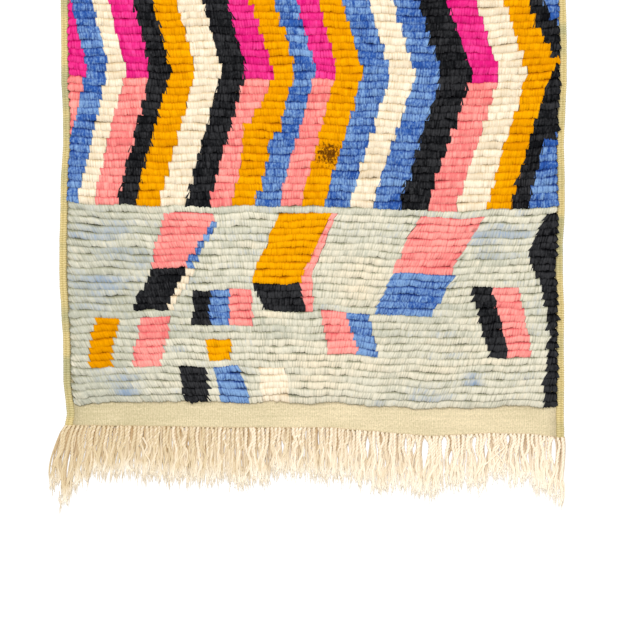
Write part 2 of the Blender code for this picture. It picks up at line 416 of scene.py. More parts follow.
# Where blue dye has bled into the pale wool: the middle and the half-widths of each patch, in
# millimetres, and how strongly it shows. Where the strength is below nought the wool is creamier.
Patch = namedtuple("Patch", "x y wide deep strength")
PATCHES = [
    Patch(-367, -887, 40, 14, 0.5),
    Patch(-305, -881, 30, 10, 0.5),
    Patch(-300, -920, 45, 14, 0.6),
    Patch(-340, -966, 50, 16, 0.8),
    Patch(-215, -1074, 16, 8, 0.6),
    Patch(-330, -1120, 60, 14, 0.5),
    Patch(-300, -1138, 20, 12, 0.7),
    Patch(-126, -1111, 22, 8, 0.6),
    Patch(217, -859, 40, 8, 0.7),
    Patch(304, -877, 48, 9, 0.9),
    Patch(280, -906, 34, 14, 0.5),
    Patch(252, -1111, 20, 12, 0.9),
    Patch(178, -1126, 34, 14, 0.6),
    Patch(80, -909, 20, 8, 0.5),
    Patch(112, -1151, 20, 6, 0.5),
    Patch(236, -1156, 26, 6, 0.4),
    Patch(83, -963, 55, 48, -0.8),
    Patch(10, -1100, 62, 46, -0.7),
    Patch(160, -1098, 95, 12, -0.6),
    Patch(-20, -925, 36, 40, -0.5),
    Patch(285, -1030, 50, 60, -0.4),
    Patch(-60, -1010, 40, 14, -0.5),
]
# Rows at which the zigzag turns; on every other leg the pink wool gives way to magenta
TURNS = [0, 17, 34, 51, 69, 86, 103, 121, 138, 154, 170]
# How far off the chart an edge of a block, or of a stripe, may be knotted, in millimetres
BLOCK_SLIP, STRIPE_SLIP = 1.6, 1.2


def charted(row, x, dice):
    """The wool of each tuft of one row, as a number in WOOLS, from its place across."""
    found = np.zeros(len(x), int)
    if row < FIELD_ROWS:
        for block in BLOCKS:
            if block.first <= row <= block.last:
                share = (row - block.first) / max(block.last - block.first, 1)
                left = block.left_low + (block.left_top - block.left_low) * share
                left += dice.uniform(-BLOCK_SLIP, BLOCK_SLIP)
                right = block.right_low + (block.right_top - block.right_low) * share
                right += dice.uniform(-BLOCK_SLIP, BLOCK_SLIP)
                found[(x >= left * MM) & (x < right * MM)] = WOOLS.index(block.wool)
        return found
    step = row - FIELD_ROWS
    leg = int(np.searchsorted(TURNS, step, side="right")) - 1
    for number, stripe in enumerate(STRIPES):
        knotted = max(2 * ((step + number % 2) // 2) - number % 2, 0)
        moved = np.interp(knotted, TURNS, [i % 2 for i in range(len(TURNS))])
        left = stripe.left + stripe.drift * moved + dice.uniform(-STRIPE_SLIP, STRIPE_SLIP)
        if number in STRAYING:
            left += np.interp(step, *STRAYING[number])
        wool = "magenta" if stripe.wool == "pink" and leg % 2 else stripe.wool
        found[x >= left * MM] = WOOLS.index(wool)
    return found


def wander(dice, x, spacing, size):
    """A smooth uneven line across the rug."""
    knots = np.arange(-0.5, 0.5 + spacing, spacing)
    return np.interp(x, knots, dice.normal(0, size, len(knots)))


def slant(x, y):
    """How far the yarn ends lie over sideways: towards the middle, and further on the left side."""
    drift = np.sin(4.2 * x + 1.6 * np.sin(5 * y)) * np.cos(3.1 * y - 2 * x)
    return 0.28 * drift + 0.15 - 0.36 * np.tanh(6 * x)


def closed_mesh(name, points, corners, totals, places):
    """An object of closed shells with its own map. The shells' ends are flat and all else is smooth."""
    mesh = bpy.data.meshes.new(name)
    mesh.vertices.add(points.size // 3)
    mesh.vertices.foreach_set("co", points.astype(np.float32).ravel())
    mesh.loops.add(len(corners))
    mesh.loops.foreach_set("vertex_index", corners.astype(np.int32))
    mesh.polygons.add(len(totals))
    mesh.polygons.foreach_set("loop_start", np.concatenate([[0], np.cumsum(totals)[:-1]]).astype(np.int32))
    mesh.update(calc_edges=True)
    bake_map(mesh, places)
    mesh.polygons.foreach_set("use_smooth", np.asarray(totals) == 4)
    mesh.update()
    made = bpy.data.objects.new(name, mesh)
    bpy.context.scene.collection.objects.link(made)
    return made


def mark(made, name, values, kind="FLOAT", key="value"):
    """Writes one value for each point of the mesh."""
    layer = made.data.attributes.new(name, kind, "POINT")
    layer.data.foreach_set(key, np.asarray(values, np.float32).ravel())


# How the pale field and the striped part are knotted: how far the yarn ends lie over sideways, how deep
# the furrows between them are and how full their backs, how far black ones spill over the bindings (all
# three in millimetres), how uneven the knots' shades are, and how far ends follow a block's edge
Part = namedtuple("Part", "first rows start end lean furrow_depth filled black_spill knot_shade follow")
FIELD = Part(0, FIELD_ROWS, PILE_START, STRIPE_START, 1.0, 0.9, 1.1, 8, 0.08, 0.8)
STRIPED = Part(FIELD_ROWS, STRIPE_ROWS, STRIPE_START, PILE_END, 0.25, 1.3, 1.3, 4, 0.14, 0.4)
part_of = [FIELD] * FIELD_ROWS + [STRIPED] * STRIPE_ROWS
# Where in a row its knots are tied, and how far other wools spill over the bindings, in millimetres
KNOT_PLACE = 0.97
SPILL = 3
# How much of a yarn end's rise or drop shows at each of its steps, and how much lower, in millimetres,
# the last two lie along the first row, where nothing is under them
RISE_SHARES = np.array([0.0, 0.8, 1.0, 1.0, 0.4])
FIRST_ROW_DROPS = np.array([1.5, 2.6])

dice = np.random.default_rng(21)
columns = round((WIDTH - 2 * SELVEDGE_WIDTH) / STROKE)
rib_rows, wool_rows, yarn_rows, furrow_rows, cast_rows = [], [], [], [], []
for row, part in enumerate(part_of):
    pitch = (part.end - part.start) / part.rows
    knot_line = part.start + (row - part.first + KNOT_PLACE) * pitch
    share = (np.arange(columns) + 0.5 + dice.uniform(-0.36, 0.36, columns)) / columns
    line = np.full(columns, knot_line)
    x = cloth_x(share, line)
    # The line of knots sways, and droops at the left side of the pale field
    sway = np.sin(57 * x + 2.2 * np.sin(31 * knot_line)) * np.sin(23 * knot_line + 9 * x)
    near_left = np.exp((cloth_x(0, line) - x) / (26 * MM)) * np.clip((-0.93 - knot_line) / 0.1, 0, 1)
    knots_y = woven_line(line, x) + 1.7 * MM * sway - 2.5 * MM * near_left
    knots_y = knots_y + wander(dice, x, 0.018, 0.6 * MM)
    knots_y = knots_y + wander(dice, x, 0.007, 0.35 * MM)
    wools = charted(row, x, dice)
    shaggy = wools == WOOLS.index("black")
    changes = wools[1:] != wools[:-1]
    inner = 1 - (np.append(changes, False) | np.append(False, changes))
    lean = slant(x, knot_line) * part.lean + wander(dice, x, 0.04, 0.07)
    lean = lean + dice.normal(0, 0.05 + 0.07 * shaggy, columns)
    # Every other yarn end lies short and low, in a furrow between its neighbours
    furrow = (np.arange(columns) + row) % 2 * dice.uniform(0.2, 1.0, columns) * inner
    reach = 1.04 - 0.15 * furrow + wander(dice, x, 0.008, 0.06) + wander(dice, x, 0.04, 0.03)
    reach = reach + dice.normal(0, 0.03 + 0.05 * shaggy, columns)
    rise = (0.4 - part.furrow_depth * furrow) * MM + wander(dice, x, 0.04, 0.25 * MM)
    rise = rise + dice.normal(0, (0.25 + 0.3 * shaggy) * MM, columns) * inner
    # The pile is lower beside the bindings and along the bare band
    calm = np.clip(np.minimum(x - cloth_x(0, line), cloth_x(1, line) - x) / (9 * MM), 0, 1)
    drop = (1 - calm) ** 1.2 * 3.6 * MM + (row == 0) * 3.0 * MM
    back = TUFT_STEPS * pitch * np.where(TUFT_STEPS > 0.3, reach[:, None], 1)
    up = TUFT_RISES + (rise - drop)[:, None] * RISE_SHARES
    up[:, :2] += part.filled * MM
    if row == 0:
        up[:, 3:] -= FIRST_ROW_DROPS * MM
    # The outermost three yarn ends of a row spill sideways
    from_side = np.minimum(np.arange(columns), np.arange(columns)[::-1])
    spill = np.sign(x) * np.clip(1 - from_side / 3, 0, 1) * np.where(shaggy, part.black_spill, SPILL) * MM
    along_x = x[:, None] + (lean * pitch + spill * dice.uniform(-0.1, 1.0))[:, None] * TUFT_STEPS
    rib_rows.append(np.stack([along_x, knots_y[:, None] - back, up], -1))
    wool_rows.append(wools)
    # The pale field is greyer at the far left, and lightest in the first nine rows
    shade = 0.5 + dice.normal(0, 0.10) + wander(dice, x, 0.03, 0.16)
    if part is FIELD:
        shade = shade + 0.18 * np.tanh((x + 0.22) / 0.08)
        shade = shade + 0.26 * (row < 9) * np.clip((x + 0.34) / 0.1, 0, 1)
    shade = shade + np.repeat(dice.normal(0, part.knot_shade, columns // 3 + 1), 3)[:columns]
    yarn_rows.append(np.stack([x, np.full(columns, float(row)), np.clip(shade, 0, 1)], -1))
    cast = dice.normal(0, 0.08) + wander(dice, x, 0.04, 0.10)
    for patch in PATCHES:
        gap = np.hypot((x / MM - patch.x) / patch.wide, (knot_line / MM - patch.y) / patch.deep)
        cast = cast + patch.strength * np.exp(-gap * gap)
    cast_rows.append(cast + dice.normal(0, 0.10, columns))
    furrow_rows.append(furrow)
rib_points = np.array(rib_rows)
wool_of = np.array(wool_rows)
yarn_of = np.array(yarn_rows)
furrow_of = np.array(furrow_rows)
cast_of = np.array(cast_rows)
# No run of one wool is a single end wide: such an end takes its neighbour's wool
alone = np.ones_like(wool_of, bool)
alone[:, 1:] &= wool_of[:, 1:] != wool_of[:, :-1]
alone[:, :-1] &= wool_of[:, :-1] != wool_of[:, 1:]
wool_of[alone] = np.roll(wool_of, 1, axis=1)[alone]
run_starts = np.ones_like(wool_of, bool)
run_starts[:, 1:] = wool_of[:, 1:] != wool_of[:, :-1]
run_ends = np.ones_like(wool_of, bool)
run_ends[:, :-1] = run_starts[:, 1:]
# Where two neighbouring rows change between the same two wools this near each other, that is one edge
FOLLOWED = 9 * MM
# The yarn ends beside an edge lean along its slant, towards where the row below has it
for row in range(1, len(wool_of)):
    moves, weights = np.zeros(columns), np.zeros(columns)
    below = np.flatnonzero(run_starts[row - 1, 1:]) + 1
    for column in np.flatnonzero(run_starts[row, 1:]) + 1:
        pair = wool_of[row, column - 1 : column + 1]
        gaps = [rib_points[row - 1, other, 0, 0] - rib_points[row, column, 0, 0] for other in below
                if (wool_of[row - 1, other - 1 : other + 1] == pair).all()]
        gap = min(gaps, key=abs, default=1.0)
        if abs(gap) < FOLLOWED:
            near = np.clip(1 - np.abs(np.arange(columns) - column + 0.5) / 5, 0, 1)
            moves += near * gap
            weights += near
    moves = moves / np.maximum(weights, 1)
    rib_points[row, ..., 0] += part_of[row].follow * moves[:, None] * np.clip(TUFT_STEPS, 0, 1)
# Neighbouring runs meet, and darker shaggier wools spread over the paler ones towards their tips
spread = SPREADS[wool_of] * dice.uniform(0.2, 1.6, wool_of.shape)
spread = 0.55 * STROKE + spread[..., None] * MM * np.clip(TUFT_STEPS, 0, 1)
rib_points[..., 0] += spread * (run_ends.astype(int) - run_starts)[..., None]
proud = PROUD[wool_of] * (run_ends | run_starts)
rib_points[..., 2] += proud[..., None] * MM * np.array([0, 0.5, 1, 1, 1])
# The outermost yarn ends of each row draw in to a point
outermost = rib_points[:, [0, -1]]
rib_points[:, [0, -1]] = outermost * 0.4 + outermost.mean(axis=2, keepdims=True) * 0.6


def cap_places(sides, middle, reach):
    """Where a shell's flat end lies in its cell of the map; its other end lies half a cell higher."""
    angles = np.arange(sides) * 2 * pi / sides
    return np.stack([middle + reach * np.cos(angles), 0.25 + 0.2 * np.sin(angles)], -1)


def in_cells(count, shape, shown):
    """Map places, each in its own cell of a grid, from pairs of cells' numbers and places in a cell."""
    cells_wide = ceil(sqrt(count * shape))
    grid = np.array([cells_wide, ceil(count / cells_wide)])
    packed = []
    for owners, local in shown:
        cell = np.stack([owners % cells_wide, owners // cells_wide], -1)[:, None]
        packed.append(((cell + local) / grid).reshape(-1, 2))
    return np.concatenate(packed)


def ribs(name, own):
    """Closed ribs of knotted wool, one for each run of neighbouring yarn ends that `own` marks."""
    points = rib_points[own]
    count, sides = points.shape[:2]
    number = np.cumsum(own).reshape(own.shape) - 1
    left = number[:, :-1][own[:, :-1] & ~run_ends[:, :-1]]
    here = np.arange(sides)
    after = (here + 1) % sides
    this_end, next_end = left[:, None] * sides, (left[:, None] + 1) * sides
    quads = np.stack([this_end + here, this_end + after, next_end + after, next_end + here], -1)
    firsts, lasts = number[own & run_starts], number[own & run_ends]
    corners = np.concatenate([quads.ravel(), (lasts[:, None] * sides + here).ravel(),
                              (firsts[:, None] * sides + here[::-1]).ravel()])
    totals = np.repeat([4, sides], [len(left) * sides, 2 * len(lasts)])
    round_tuft = np.linalg.norm(np.roll(points, -1, axis=1) - points, axis=2).mean(0)
    heights = np.concatenate([[0], np.cumsum(round_tuft)]) / round_tuft.sum() * 0.96 + 0.02
    wall_u = np.broadcast_to(np.array([0, 0, 1, 1]), (sides, 4))
    wall_v = heights[here[:, None] + np.array([0, 1, 1, 0])]
    wall = np.stack([wall_u, wall_v], -1).reshape(-1, 2)
    cap = cap_places(sides, 0.5, 0.4)
    shown = [(left, wall), (lasts, cap), (lasts, cap + np.array([0, 0.5]))]
    made = closed_mesh(name, points, corners, totals, in_cells(count, round_tuft.sum() / STROKE, shown))
    yarn = np.repeat(yarn_of[own][:, None], sides, axis=1)
    yarn[..., 1] += 0.8 * TUFT_LIE
    mark(made, "yarn", yarn, "FLOAT_VECTOR", "vector")
    mark(made, "lie", np.tile(TUFT_LIE, count))
    mark(made, "furrow", np.repeat(furrow_of[own], sides))
    mark(made, "cast", np.repeat(cast_of[own], sides))
    return made


CREAMY = colour(236, 219, 190)


def knotted_wool(name, tones):
    """Soft wool: strokes of yarn down each rib and lighter and darker knots, with painted shade between the
    yarn ends and in the creases.
    """
    wool = Finish(name, Roughness=1.0, Specular_IOR_Level=0.0)
    yarn = wool.marked("yarn", "Vector")
    lie = wool.marked("lie")
    place = wool.add("TexCoord", output="Object")
    shade = wool.axis(yarn, "Z")
    strokes = wool.noise(yarn, (460, 1.6, 0), 3.0, 0.6)
    fibres = wool.noise(yarn, (1500, 5, 0), 2.0, 0.6)
    flecks = wool.noise(place, (320, 200, 0), 2.0, 0.6)
    fuzz = wool.noise(place, 1100, 3.0, 0.65)
    batch = wool.noise(yarn, (16, 0.45, 0), 3.0, 0.6)
    tone = wool.step(shade * 0.45 + batch * 0.30 + strokes * 0.50 + flecks * tones.marl,
                     0.44 + tones.marl / 2, 0.80 + tones.marl / 2)
    base = wool.mix(tone, colour(*tones.plain), colour(*tones.light))
    if tones.cast:
        cast = wool.marked("cast")
        odd = wool.step(cast + (batch - 0.5) * 1.2 + (strokes - 0.5) * 1.6, 0.15, 1.0)
        base = wool.mix(odd, base, colour(*tones.cast))
        creamy = wool.step((batch - 0.5) * 1.2 - cast, 0.10, 1.0)
        base = wool.mix(creamy * 0.8, base, CREAMY)
    height = strokes * 0.60 + fuzz * 0.30 + fibres * 0.30
    furrow = wool.marked("furrow")
    # Painted shade between the yarn ends: in the low parts of their relief and in the furrows between them
    painted_shade_between = (1 - wool.step(height, 0.46, 0.66)) * 0.6 + wool.step(furrow + strokes * 0.6, 0.50, 1.2)
    uneven = wool.noise(yarn, (45, 0.9, 0))
    broken = wool.step(wool.noise(yarn, (75, 1.1, 0)), 0.38, 0.60)
    # Painted shade in the crease under each row's lip and at its roots, broken up along the row
    painted_crease_shade = wool.step(lie + uneven * 0.20, 0.92, 1.08) + (1 - wool.step(lie, 0.12, 0.28))
    painted_shade = wool.step(painted_shade_between * tones.streak + painted_crease_shade * (broken * 0.45 + 0.40), 0.0, 1.0)
    return wool, place, wool.mix(painted_shade, base, colour(*tones.deep)), height


# What each wool looks like: its plain and its light shade, its painted shade in the creases and between its
# yarn ends, the cast of its odd patches if it has any, how strongly shade is painted between its strokes and
# how flecked it is
Tones = namedtuple("Tones", "plain light deep cast streak marl")
TONES = {
    "pale": Tones((181, 181, 165), (218, 212, 192), (144, 143, 119), (134, 154, 180), 0.45, 0.35),
    "pink": Tones((222, 119, 115), (243, 160, 149), (208, 90, 92), None, 0.55, 0.35),
    "magenta": Tones((210, 30, 116), (234, 68, 142), (182, 10, 92), None, 0.60, 0.3),
    "blue": Tones((44, 84, 156), (126, 160, 202), (30, 56, 120), None, 0.60, 0.9),
    "ivory": Tones((218, 202, 176), (240, 227, 204), (206, 184, 148), None, 0.55, 0.3),
    "black": Tones((22, 23, 25), (54, 54, 56), (10, 10, 12), None, 0.75, 0.8),
    "mustard": Tones((212, 138, 1), (231, 160, 4), (186, 114, 2), None, 0.45, 0.35),
}
# A spill has left scattered brown spots on one mustard stripe
STAIN_X, STAIN_Y, STAIN_REACH = 27 * MM, -0.764, 25 * MM
for number, wool_name in enumerate(WOOLS):
    made = ribs("pile_" + wool_name, wool_of == number)
    finish, place, shown, relief = knotted_wool(wool_name + "_wool_pile", TONES[wool_name])
    if wool_name == "mustard":
        centre = finish.add("Mapping", {}, {"Vector": place, "Location": (-STAIN_X, -STAIN_Y, 0)})
        flat = finish.stretch(centre, 1, 1, 0)
        away = finish.add("VectorMath", {"operation": "LENGTH"}, {0: flat}, "Value")
        spots = finish.noise(place, (260, 190, 0), 3.0, 0.6)
        ragged = finish.noise(place, 60, 2.0) * (18 * MM) - 9 * MM
        within = 1 - finish.step(away + ragged, 0.3 * STAIN_REACH, 1.1 * STAIN_REACH)
        tinged = finish.mix(within * 0.5, shown, colour(206, 132, 6))
        spilt = finish.step(spots + within * 0.24, 0.60, 0.74) * finish.step(within, 0.0, 0.3)
        shown = finish.mix(spilt, tinged, colour(104, 60, 10))
    made.data.materials.append(finish.wear(shown, relief, 0.9 * MM))
    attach(made, "root")

# The side bindings. The outer warps are bundled in two and overcast with straw wool in a figure of
# eight, so each side is a double cord with a furrow where the wraps cross. Greenish ends of wool are
# wrapped in here and there.
WRAP_PITCH = 3.6 * MM
BINDING_RADIUS, BINDING_WIDE = 2.5 * MM, 2.35
BINDING_MIDDLE = 2.56 * MM
# The section of the double cord, from its outer side to its inner one, in radii
SELVEDGE_SECTION = np.array([
    (-1.0, -0.10), (-0.85, 0.75), (-0.50, 0.92), (-0.12, 0.55), (0.25, 0.92), (0.80, 0.88),
    (1.40, 0.02), (0.85, -0.95), (-0.70, -0.95),
])


def tubes(name, centres, radii, sides, reference=(1.0, 0.0, 0.0), turn=0.0, section=None, wide=1.0):
    """Closed tubes round rows of centre points, joined in one mesh. Their section is round, or as given."""
    count, rings = centres.shape[:2]
    along = np.gradient(centres, axis=1)
    along /= np.linalg.norm(along, axis=2, keepdims=True)
    upward = np.cross(along, np.array(reference))
    upward /= np.linalg.norm(upward, axis=2, keepdims=True)
    sideways = np.cross(upward, along)
    if section is None:
        angles = np.arange(sides) * 2 * pi / sides + turn
        section = np.stack([np.cos(angles), np.sin(angles)], -1)
    section = np.broadcast_to(section, (count, rings, sides, 2)) * radii[..., None, None]
    points = centres[:, :, None] + sideways[:, :, None] * section[..., :1] * wide
    points = points + upward[:, :, None] * section[..., 1:]
    tube = np.arange(count)[:, None, None] * rings * sides
    ring = np.arange(rings - 1)[None, :, None] * sides
    here = np.arange(sides)[None, None, :]
    after = (here + 1) % sides
    quads = np.stack([tube + ring + here, tube + ring + after, tube + ring + sides + after,
                      tube + ring + sides + here], -1).reshape(-1, 4)
    starts = (tube[:, 0] + np.arange(sides)[::-1]).reshape(count, sides)
    ends = (tube[:, 0] + (rings - 1) * sides + np.arange(sides)).reshape(count, sides)
    corners = np.concatenate([quads.ravel(), starts.ravel(), ends.ravel()])
    totals = np.concatenate([np.full(len(quads), 4), np.full(2 * count, sides)])
    lengths = np.linalg.norm(np.diff(centres, axis=1), axis=2).sum(1)
    shape = max(float(lengths.mean()) / (2 * pi * float(radii.mean())), 1.0)
    wall_u = np.stack([here, here + 1, here + 1, here], -1) / sides * 0.80 + 0.02
    wall_v = np.stack([ring // sides, ring // sides, ring // sides + 1, ring // sides + 1], -1)
    wall_v = wall_v / (rings - 1) * 0.94 + 0.03
    wall = np.stack(np.broadcast_arrays(wall_u, wall_v), -1).reshape(-1, 2)
    cap = cap_places(sides, 0.91, 0.06)
    numbers = np.arange(count)
    shown = [(numbers, wall), (numbers, cap), (numbers, cap + np.array([0, 0.5]))]
    return closed_mesh(name, points, corners, totals, in_cells(count, shape, shown))


def overcast_wool():
    """Straw wool wraps side by side, greenish in places, with painted shade between the wraps and in the
    furrow where they cross.
    """
    wrap = Finish("overcast_straw_wool", Roughness=0.95, Specular_IOR_Level=0.1)
    place = wrap.add("TexCoord", output="Object")
    along = wrap.axis(place, "Y")
    across = wrap.marked("across")
    batch = wrap.noise(place, (3, 13, 0), 3.0, 0.6)
    fibre = wrap.noise(place, (300, 800, 400), 3.0, 0.7)
    loose = wrap.noise(place, (120, 60, 0)) * (1.6 * WRAP_PITCH)
    ticks = wrap.sine((along + loose) * (2 * pi / WRAP_PITCH))
    base = wrap.mix(wrap.step(batch, 0.47, 0.62), colour(214, 194, 139), colour(182, 175, 132))
    crossing = 1 - wrap.step(wrap.add("Math", {"operation": "ABSOLUTE"}, {0: across + 0.10}), 0.04, 0.40)
    # Painted shade between the wraps and in the furrow where they cross; the fibre noise adds random darker
    # fibres as well
    shade = wrap.step(ticks * 0.28 + fibre * 1.3 - crossing * 0.35, 0.15, 0.85)
    painted_shade_colour = wrap.add("HueSaturation", {}, {"Value": 0.66, "Saturation": 1.15, "Color": base})
    return wrap.wear(wrap.mix(shade, painted_shade_colour, base), fibre + ticks * 0.4, 0.5 * MM)


straw_wrap = overcast_wool()
for side, outward in OUTWARD.items():
    rings = 2 * round(LENGTH / WRAP_PITCH)
    middle = SELVEDGE_WIDTH / 2
    corners_y = np.array([NEAR_END, FAR_END])
    y = np.linspace(*woven_line(corners_y, outer_edge(side, corners_y, middle)), rings)
    x = outer_edge(side, y, middle)
    swell = np.where(np.arange(rings) % 2, 1.0, 0.86) * (1 + dice.normal(0, 0.02, rings))
    centres = np.stack([x, y, np.full(rings, BINDING_MIDDLE)], 1)[None]
    shape = SELVEDGE_SECTION * np.array([outward, 1.0])
    if outward > 0:
        shape = shape[::-1]
    bound = tubes("selvedge_wrap_" + side, centres, BINDING_RADIUS * swell[None], len(shape),
                  reference=(-1.0, 0.0, 0.0), section=shape, wide=BINDING_WIDE)
    mark(bound, "across", np.tile(SELVEDGE_SECTION[:: -outward, 0], rings))
    bound.data.materials.append(straw_wrap)
    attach(bound, "root")
    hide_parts("selvedge_" + side)

# The fringe. The warps leave the last weft in pairs, each pair twisted into a loose cord that has
# opened out towards its cut end. A fine twined line holds them at the cloth's edge, and they lie on
# the floor in locks that lean and cross a little.

# The locks from left to right: how many cords each has, their length and how far they lean to the right
# in millimetres, and how far they gather towards the lock's middle
Lock = namedtuple("Lock", "strands length lean gather")
LOCKS = [
    Lock(2, 98, -25, 0.05),
    Lock(2, 120, -19, 0.08),
    Lock(4, 92, -15, 0.10),
    Lock(5, 78, -10, 0.18),
    Lock(5, 76, -4, 0.20),
    Lock(5, 80, -1, 0.25),
    Lock(5, 84, 0, 0.15),
    Lock(5, 86, 1, 0.25),
    Lock(5, 80, -2, 0.32),
    Lock(5, 86, 3, 0.25),
    Lock(5, 82, 1, 0.30),
    Lock(5, 70, -1, 0.20),
    Lock(4, 72, -4, 0.30),
    Lock(5, 76, 3, 0.30),
    Lock(5, 78, 1, 0.15),
    Lock(5, 82, 0, 0.25),
    Lock(4, 88, -2, 0.34),
    Lock(5, 84, 2, 0.36),
    Lock(4, 92, -1, 0.36),
    Lock(4, 88, -3, 0.36),
    Lock(5, 81, -1, 0.30),
    Lock(5, 82, 1, 0.34),
    Lock(5, 66, -2, 0.30),
    Lock(5, 75, 3, 0.28),
    Lock(4, 86, 18, 0.30),
    Lock(3, 92, -1, 0.15),
    Lock(1, 110, -8, 0.00),
]
# Where neighbouring cords part, in millimetres across the rug and down from the heading
Slot = namedtuple("Slot", "x start end width")
SLOTS = [
    Slot(-259, 42, 64, 5),
    Slot(-199, 18, 36, 7),
    Slot(-180, 38, 60, 8),
    Slot(-48, 17, 44, 8),
    Slot(56, 22, 46, 6),
    Slot(89, 6, 52, 10),
    Slot(101, 5, 38, 10),
    Slot(149, 5, 54, 10),
    Slot(159, 8, 36, 8),
    Slot(178, 4, 74, 16),
    Slot(209, 3, 42, 15),
    Slot(218, 20, 62, 7),
    Slot(259, 4, 32, 10),
    Slot(275, 6, 42, 10),
    Slot(309, 3, 24, 11),
    Slot(367, 8, 24, 6),
    Slot(383, 5, 56, 10),
]
HEADING_INSET = 1.0 * MM
CORD_SIDES = 5
# One turn of a cord's plies takes this much of its length, up to the share where it has opened out
CORD_TWIST = 10.5 * MM
TWISTED = 0.42
# How far the outermost cords bow out to the left, and how far in that is felt
BOW, BOW_REACH = 11 * MM, 30 * MM
SLOT_REACH = 9 * MM

strands = sum(lock.strands for lock in LOCKS)
heading = [outer_edge(side, NEAR_END, HEADING_INSET) for side in OUTWARD]
root_pitch = (heading[1] - heading[0]) / strands
roots = heading[0] + (np.arange(strands) + 0.5 + dice.uniform(-0.2, 0.2, strands)) * root_pitch
lock_of = np.repeat(np.arange(len(LOCKS)), [lock.strands for lock in LOCKS])
lengths = np.array([LOCKS[i].length for i in lock_of]) * MM * (1 + dice.uniform(-0.06, 0.06, strands))
lock_leans = np.array([LOCKS[i].lean for i in lock_of]) * MM
easy_leans = np.interp(np.arange(strands), np.arange(0, strands, 6), lock_leans[::6])
gathers = np.array([LOCKS[i].gather for i in lock_of]) * 0.35
lock_middle = np.array([roots[lock_of == i].mean() for i in lock_of])
front = woven_line(np.full(strands, NEAR_END), roots) + 1.0 * MM


def cord_paths(share, leans, waves, shift=0.0):
    """Centre x and y of every cord at these shares of its length, or of a yarn beside each cord."""
    eased = share * share * (3 - 2 * share)
    x = roots[:, None] + shift * root_pitch + leans[:, None] * share**1.3
    x = x + (lock_middle - roots)[:, None] * gathers[:, None] * eased
    for order in range(waves.shape[1]):
        x = x + waves[:, order : order + 1] * np.sin(pi * (order + 1) * share) * share**0.3
    for slot in SLOTS:
        away = roots[:, None] + shift * root_pitch - slot.x * MM
        along = np.clip((lengths[:, None] * share / MM - slot.start) / (slot.end - slot.start), 0, 1)
        push = np.sign(away) * slot.width / 2 * MM * np.exp(-np.abs(away) / SLOT_REACH)
        x = x + push * np.sin(pi * along**0.6)
    x = x - BOW * np.exp((roots[0] - roots[:, None]) / BOW_REACH) * np.sin(pi * share**0.7)
    y = front[:, None] - lengths[:, None] * share
    return x, y


def twisted_cotton(name, pale, warm, deep, tip, relief):
    """Undyed cotton: warmer on the left, with painted shade where its points are marked for it, as between
    and under its plies, bleached towards its frayed end.
    """
    yarn = Finish(name, Roughness=0.9, Specular_IOR_Level=0.1)
    place = yarn.add("TexCoord", output="Object")
    down = yarn.marked("down")
    painted_shade = yarn.marked("painted_shade")
    fibre = yarn.noise(place, (1300, 260, 1300), 3.0, 0.65)
    blotch = yarn.noise(place, (60, 30, 0), 3.0, 0.6)
    across = yarn.axis(place, "X")
    own = yarn.marked("own")
    base = yarn.mix(yarn.step(across + (blotch - 0.5) * 0.4 + (own - 0.5) * 0.5, -0.40, 0.20), warm, pale)
    bleached = yarn.mix(yarn.step(down + (blotch - 0.5) * 0.5, 0.74, 1.04), base, tip)
    # Painted shade: marked points take the darker colour, less so towards the frayed end, and random fibres
    # add darker flecks
    shade = yarn.step(painted_shade * (1 - down * 0.8) + (0.5 - fibre) * 0.9, 0.10, 1.1)
    return yarn.wear(yarn.mix(shade, bleached, deep), fibre - painted_shade * 0.5, relief)


def finish_yarn(made, finish, sides, share, painted_shade):
    """Marks how far down each point lies, how much painted shade it takes and which yarn's it is, and
    finishes the piece.
    """
    count = len(made.data.vertices) // (sides * len(share))
    mark(made, "down", np.tile(np.repeat(share, sides), count))
    mark(made, "painted_shade", np.broadcast_to(painted_shade, (count, len(share), sides)))
    mark(made, "own", np.repeat(dice.random(count), sides * len(share)))
    made.data.materials.append(finish)
    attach(made, "root")


# The cotton's third colour is painted shade, for the cords' undersides, between their plies and under them
cream_yarn = twisted_cotton("cream_plied_yarn", colour(243, 229, 206), colour(213, 194, 158),
                            colour(168, 133, 88), colour(246, 238, 222), 0.25 * MM)
# The rings of a cord lie closer together where its plies are twisted
share = np.concatenate([np.linspace(0, TWISTED, 20), np.linspace(0.46, 1, 13)])
waves = dice.normal(0, np.array([2.4, 2.2, 1.8, 1.2, 0.9]) * MM, (strands, 5))
x, y = cord_paths(share, 0.6 * lock_leans + 0.4 * easy_leans, waves)
travel = lengths[:, None] * share
twisted = TWISTED * lengths[:, None]
turns = 2 * pi * (np.minimum(travel, twisted) / CORD_TWIST
                  + np.maximum(travel - twisted, 0) / (4 * CORD_TWIST))
turns = turns + dice.uniform(0, 2 * pi, (strands, 1))
rest = 2.9 * MM - 0.8 * MM * share - 0.8 * MM * np.clip(share * 8 - 7, 0, 1)
rest = rest + dice.uniform(-0.3, 0.7, (strands, 1)) * MM * np.sin(pi * share)
stout = dice.uniform(0.84, 1.10, strands)
section_dip = 0.5 - 0.5 * np.sin(pi / 2 + np.arange(CORD_SIDES) * 2 * pi / CORD_SIDES)
opened = 1.25 * MM * (1 + 0.15 * share)
plies, dips = [], []
for ply in range(2):
    spiral = turns + ply * pi
    ply_x = x + opened * np.cos(spiral)
    ply_z = rest + 0.75 * MM * (1 - 0.6 * share) * np.sin(spiral)
    plies.append(np.stack([ply_x, y, ply_z], -1))
    # Painted shade: the lower ply at each turn and the sides and underside of each ply
    dips.append(0.50 * (0.5 - 0.5 * np.sin(spiral))[..., None] + 0.9 * section_dip)
